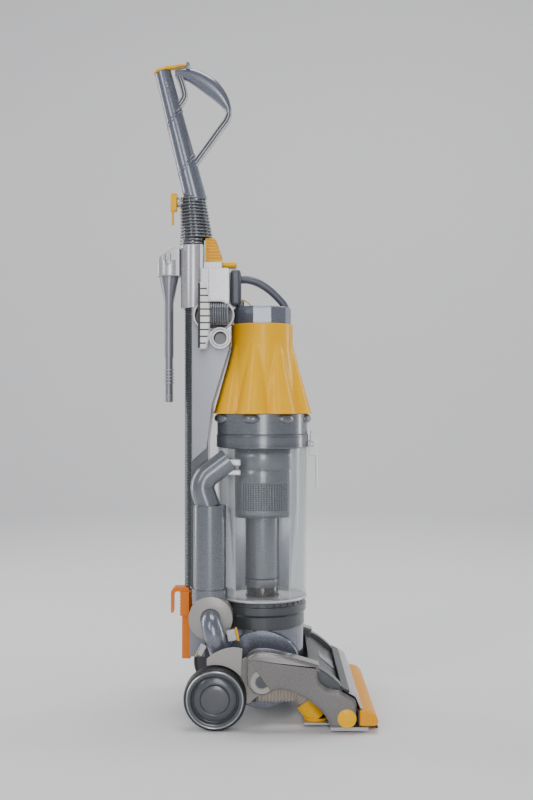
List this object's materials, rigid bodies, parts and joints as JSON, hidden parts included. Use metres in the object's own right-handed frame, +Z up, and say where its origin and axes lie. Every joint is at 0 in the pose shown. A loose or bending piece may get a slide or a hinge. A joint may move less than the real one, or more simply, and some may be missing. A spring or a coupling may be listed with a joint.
{
  "type": "upright vacuum cleaner",
  "caption": "Upright cyclonic vacuum cleaner with a lift-off bin, stored wand and hose, tilting brush head, clip-on tools and cord hooks.",
  "frame": {"origin": "on the floor, at the middle of the machine's box, under the bin's axis to within a millimetre", "axes": "+X to the front where the brush head is, +Y to the left side, +Z up"},
  "size_m": [0.3741, 0.3046, 1.1036],
  "materials": {
    "silver_plastic": "satin moulded, fine pearl",
    "blue_grey_plastic": "glossy moulded",
    "dark_plastic": "fine textured",
    "warm_grey_plastic": "satin moulded",
    "mid_grey_plastic": "satin moulded",
    "yellow_plastic": "glossy moulded",
    "orange_plastic": "satin moulded",
    "white_plastic": "satin moulded",
    "clear_plastic": "clear moulded",
    "hood_plastic": "glossy moulded",
    "soft_hose": "ribbed",
    "cream_hose": "ribbed translucent",
    "tyre_rubber": "matt",
    "black_rubber": "matt",
    "steel": "brushed",
    "foam": "open foam",
    "bristle": "nylon bristle"
  },
  "bodies": {
    "chassis": {"axle": "steel", "axle_brackets": "warm_grey_plastic", "motor_casing": "warm_grey_plastic", "motor_can": "steel", "motor_cowl": "blue_grey_plastic", "filter_bucket": "dark_plastic", "filters": "foam", "spine_frame": "dark_plastic", "spine_panel": "silver_plastic", "stretch_hose": "soft_hose", "air_duct": "mid_grey_plastic", "valve_housing": "warm_grey_plastic", "internal_hose": "blue_grey_plastic", "hose_clips": "silver_plastic", "top_housing": "silver_plastic", "tool_dock": "silver_plastic", "catch_spring": "steel", "crevice_holder": "silver_plastic", "lower_hook": "orange_plastic"},
    "wheel_right": {"wheel_right": "mid_grey_plastic", "tyre_right": "tyre_rubber"},
    "wheel_left": {"wheel_left": "mid_grey_plastic", "tyre_left": "tyre_rubber"},
    "motor_rotor": {"motor_rotor": "steel"},
    "valve": {"changeover_valve": "dark_plastic"},
    "head": {"head_arm_right": "warm_grey_plastic", "head_arm_left": "warm_grey_plastic", "head_shell": "hood_plastic", "head_deck": "silver_plastic", "bumper": "yellow_plastic", "soleplate": "silver_plastic", "hose_socket": "yellow_plastic", "head_hose": "cream_hose", "drive_belts": "black_rubber", "head_screws": "steel"},
    "clutch": {"clutch": "dark_plastic"},
    "brush": {"brush_bar": "dark_plastic", "brush_bristles": "bristle"},
    "rollers": {"rollers": "dark_plastic"},
    "wand": {"wand_tube": "blue_grey_plastic", "wand_cuff": "soft_hose", "handle_grip": "blue_grey_plastic"},
    "wand_cap": {"wand_cap": "yellow_plastic"},
    "upper_hook": {"upper_hook": "yellow_plastic"},
    "wand_catch": {"wand_catch": "yellow_plastic"},
    "release_button": {"release_button": "yellow_plastic"},
    "power_switch": {"power_switch": "dark_plastic"},
    "bin": {"clear_bin": "clear_plastic", "bin_base": "silver_plastic", "bin_collar": "mid_grey_plastic", "cyclone_ring": "silver_plastic", "cyclone_cover": "yellow_plastic", "cone_pack": "mid_grey_plastic", "cyclone_cap": "blue_grey_plastic", "shroud": "mid_grey_plastic", "carry_handle": "blue_grey_plastic"},
    "bin_trigger": {"bin_trigger": "yellow_plastic"},
    "bin_latch": {"bin_latch": "white_plastic"},
    "crevice_tool": {"crevice_tool": "blue_grey_plastic"},
    "stair_tool": {"stair_tool": "silver_plastic"}
  },
  "joints": [
    {"name": "wheel_right_spin", "type": "hinge", "parent": "chassis", "child": "wheel_right", "pos_m": [-0.075, -0.126, 0.0505], "axis": [0, 1, 0], "continuous": true},
    {"name": "wheel_left_spin", "type": "hinge", "parent": "chassis", "child": "wheel_left", "pos_m": [-0.075, 0.126, 0.0505], "axis": [0, 1, 0], "continuous": true},
    {"name": "head_tilt", "type": "hinge", "parent": "chassis", "child": "head", "pos_m": [0, 0, 0.082], "axis": [0, 1, 0], "range_deg": [0, 55], "deforming": ["head_hose"]},
    {"name": "motor_spin", "type": "hinge", "parent": "chassis", "child": "motor_rotor", "pos_m": [0, 0, 0.082], "axis": [0, 1, 0], "continuous": true},
    {"name": "clutch_spin", "type": "hinge", "parent": "head", "child": "clutch", "pos_m": [0.068, 0.13, 0.082], "axis": [0, 1, 0], "continuous": true},
    {"name": "brush_spin", "type": "hinge", "parent": "head", "child": "brush", "pos_m": [0.134, 0, 0.025], "axis": [0, 1, 0], "continuous": true},
    {"name": "roller_spin", "type": "hinge", "parent": "head", "child": "rollers", "pos_m": [0.092, 0, 0.0085], "axis": [0, 1, 0], "continuous": true},
    {"name": "valve_turn", "type": "hinge", "parent": "chassis", "child": "valve", "pos_m": [-0.084, -0.062, 0.17], "axis": [0, 1, 0], "range_deg": [0, 99]},
    {"name": "wand_lift", "type": "slide", "parent": "chassis", "child": "wand", "axis": [0, 0, 1], "range_m": [0, 0.5]},
    {"name": "wand_cap_hinge", "type": "hinge", "parent": "wand", "child": "wand_cap", "pos_m": [-0.127, 0, 1.1006], "axis": [0, 1, 0], "range_deg": [0, 85]},
    {"name": "upper_hook_turn", "type": "hinge", "parent": "wand", "child": "upper_hook", "pos_m": [-0.15, 0, 0.866], "axis": [1, 0, 0], "range_deg": [0, 180]},
    {"name": "catch_press", "type": "slide", "parent": "chassis", "child": "wand_catch", "axis": [0, 0, -1], "range_m": [0, 0.004], "stiffness_N_per_m": 900, "springref_m": -0.002, "deforming": ["catch_spring"]},
    {"name": "button_press", "type": "slide", "parent": "chassis", "child": "release_button", "axis": [0, 0, -1], "range_m": [0, 0.003], "stiffness_N_per_m": 900, "springref_m": -0.002},
    {"name": "switch_press", "type": "slide", "parent": "chassis", "child": "power_switch", "axis": [0, -1, 0], "range_m": [0, 0.002], "stiffness_N_per_m": 900, "springref_m": -0.002},
    {"name": "bin_release", "type": "slide", "parent": "chassis", "child": "bin", "axis": [1, 0, 0], "range_m": [0, 0.25]},
    {"name": "trigger_pull", "type": "hinge", "parent": "bin", "child": "bin_trigger", "pos_m": [-0.0325, 0, 0.7025], "axis": [0, 1, 0], "range_deg": [-8, 0], "stiffness_Nm_per_rad": 0.2, "springref_deg": 11.46},
    {"name": "bin_latch_pull", "type": "hinge", "parent": "bin", "child": "bin_latch", "pos_m": [0.0845, 0, 0.452], "axis": [0, 1, 0], "range_deg": [-7, 0], "stiffness_Nm_per_rad": 0.4, "springref_deg": 5.73},
    {"name": "crevice_tool_pull", "type": "slide", "parent": "chassis", "child": "crevice_tool", "axis": [0, 0, -1], "range_m": [0, 0.05]},
    {"name": "stair_tool_pull", "type": "slide", "parent": "chassis", "child": "stair_tool", "axis": [0, -1, 0], "range_m": [0, 0.045]}
  ],
  "couplings": [
    {"joint": "clutch_spin", "follows": "motor_spin", "ratio": 0.85714},
    {"joint": "brush_spin", "follows": "motor_spin", "ratio": 0.57143},
    {"joint": "valve_turn", "follows": "head_tilt", "ratio": 1.8}
  ]
}
